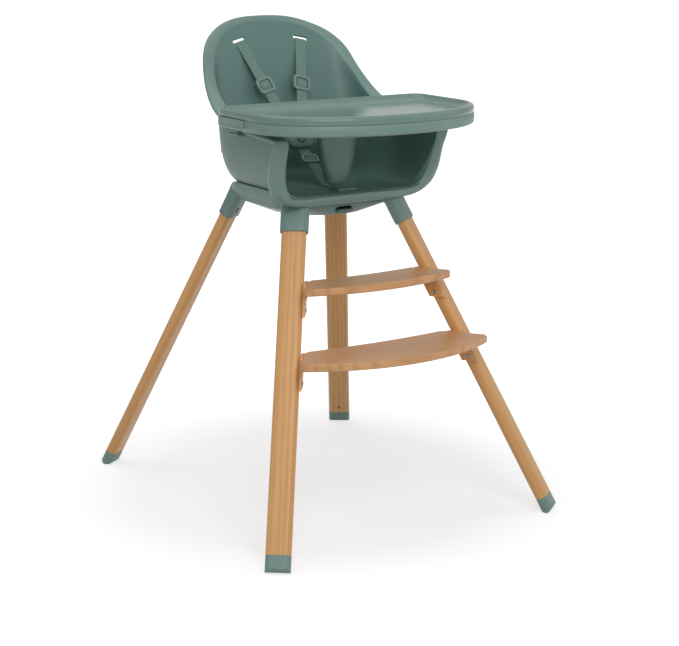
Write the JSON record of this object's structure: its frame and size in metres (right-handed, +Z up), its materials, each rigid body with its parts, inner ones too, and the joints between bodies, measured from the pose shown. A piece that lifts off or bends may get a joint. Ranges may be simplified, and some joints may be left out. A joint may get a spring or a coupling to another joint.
{
  "type": "baby high chair",
  "caption": "Baby high chair: moulded bucket seat with tray, crotch post and harness, lifting off a hub on splayed wooden legs with foot steps.",
  "frame": {"origin": "on the floor, under the middle of the chair's overall length and width", "axes": "+Z up; the child faces -Y, so +Y is the back of the chair; +X is the seated child's left"},
  "size_m": [0.635, 0.7463, 0.902],
  "materials": {
    "moulded_green": "fine satin texture",
    "dark_green": "fine satin texture",
    "leg_wood": "clear satin varnish, straight grain",
    "step_wood": "clear satin varnish, straight grain",
    "webbing": "woven webbing",
    "steel": "zinc plated"
  },
  "bodies": {
    "base": {"leg_hub": "moulded_green", "hub_cover": "dark_green", "cover_screws": "steel", "release_spring": "steel", "leg_front_right": "leg_wood", "leg_front_left": "leg_wood", "leg_rear_right": "leg_wood", "leg_rear_left": "leg_wood", "foot_cap_front_right": "moulded_green", "foot_cap_front_left": "moulded_green", "foot_cap_rear_right": "moulded_green", "foot_cap_rear_left": "moulded_green", "leg_bolts": "steel", "leg_inserts": "steel", "upper_step": "step_wood", "lower_step": "step_wood", "upper_cleat_right": "leg_wood", "upper_cleat_left": "leg_wood", "lower_cleat_right": "leg_wood", "lower_cleat_left": "leg_wood", "step_screws": "steel"},
    "release_paddle": {"release_paddle": "dark_green"},
    "seat": {"seat_shell": "moulded_green", "seat_mount_plate": "dark_green", "seat_mount_screws": "steel", "shoulder_strap_right": "webbing", "shoulder_strap_left": "webbing", "shoulder_anchor_right": "dark_green", "shoulder_anchor_left": "dark_green", "waist_strap_right": "webbing", "waist_strap_left": "webbing", "waist_anchor_right": "dark_green", "waist_anchor_left": "dark_green", "crotch_strap": "webbing", "crotch_anchor": "moulded_green", "crotch_anchor_screws": "steel", "buckle_body": "moulded_green", "buckle_back": "dark_green"},
    "tray": {"tray_base": "moulded_green", "crotch_post": "moulded_green", "post_screws": "steel"},
    "insert": {"tray_insert": "moulded_green"},
    "latch_right": {"tray_latch_right": "moulded_green"},
    "latch_left": {"tray_latch_left": "moulded_green"},
    "button": {"buckle_button": "dark_green"},
    "tongue_right": {"buckle_tongue_right": "moulded_green"},
    "tongue_left": {"buckle_tongue_left": "moulded_green"},
    "slider_right": {"shoulder_slider_right": "moulded_green"},
    "slider_left": {"shoulder_slider_left": "moulded_green"},
    "crotch_slider": {"crotch_slider": "moulded_green"}
  },
  "joints": [
    {"name": "seat_lift", "type": "slide", "parent": "base", "child": "seat", "axis": [0, 0, 1], "range_m": [0, 0.1]},
    {"name": "release_paddle_press", "type": "slide", "parent": "base", "child": "release_paddle", "axis": [0, 0, 1], "range_m": [0, 0.004], "stiffness_N_per_m": 500, "springref_m": -0.002, "deforming": ["release_spring"]},
    {"name": "tray_slide", "type": "slide", "parent": "seat", "child": "tray", "axis": [0, -1, 0], "range_m": [0, 0.18]},
    {"name": "tray_insert_lift", "type": "slide", "parent": "tray", "child": "insert", "axis": [0, 0, 1], "range_m": [0, 0.06]},
    {"name": "tray_latch_right_press", "type": "slide", "parent": "tray", "child": "latch_right", "axis": [1, 0, 0], "range_m": [0, 0.0022], "stiffness_N_per_m": 400, "springref_m": -0.002},
    {"name": "tray_latch_left_press", "type": "slide", "parent": "tray", "child": "latch_left", "axis": [-1, 0, 0], "range_m": [0, 0.0022], "stiffness_N_per_m": 400, "springref_m": -0.002},
    {"name": "buckle_button_press", "type": "slide", "parent": "seat", "child": "button", "axis": [0, 0.8556, -0.5176], "range_m": [0, 0.002], "stiffness_N_per_m": 400, "springref_m": -0.001},
    {"name": "buckle_tongue_right_pull", "type": "slide", "parent": "seat", "child": "tongue_right", "axis": [-0.9848, 0.0899, 0.1486], "range_m": [0, 0.009]},
    {"name": "buckle_tongue_left_pull", "type": "slide", "parent": "seat", "child": "tongue_left", "axis": [0.9848, 0.0899, 0.1486], "range_m": [0, 0.009]},
    {"name": "shoulder_slider_right_slide", "type": "slide", "parent": "seat", "child": "slider_right", "axis": [-0.2753, 0.4976, 0.8225], "range_m": [-0.02, 0.02]},
    {"name": "shoulder_slider_left_slide", "type": "slide", "parent": "seat", "child": "slider_left", "axis": [0.2753, 0.4976, 0.8225], "range_m": [-0.02, 0.02]},
    {"name": "crotch_slider_slide", "type": "slide", "parent": "seat", "child": "crotch_slider", "axis": [0, 0.8481, 0.5298], "range_m": [-0.01, 0.01]}
  ]
}
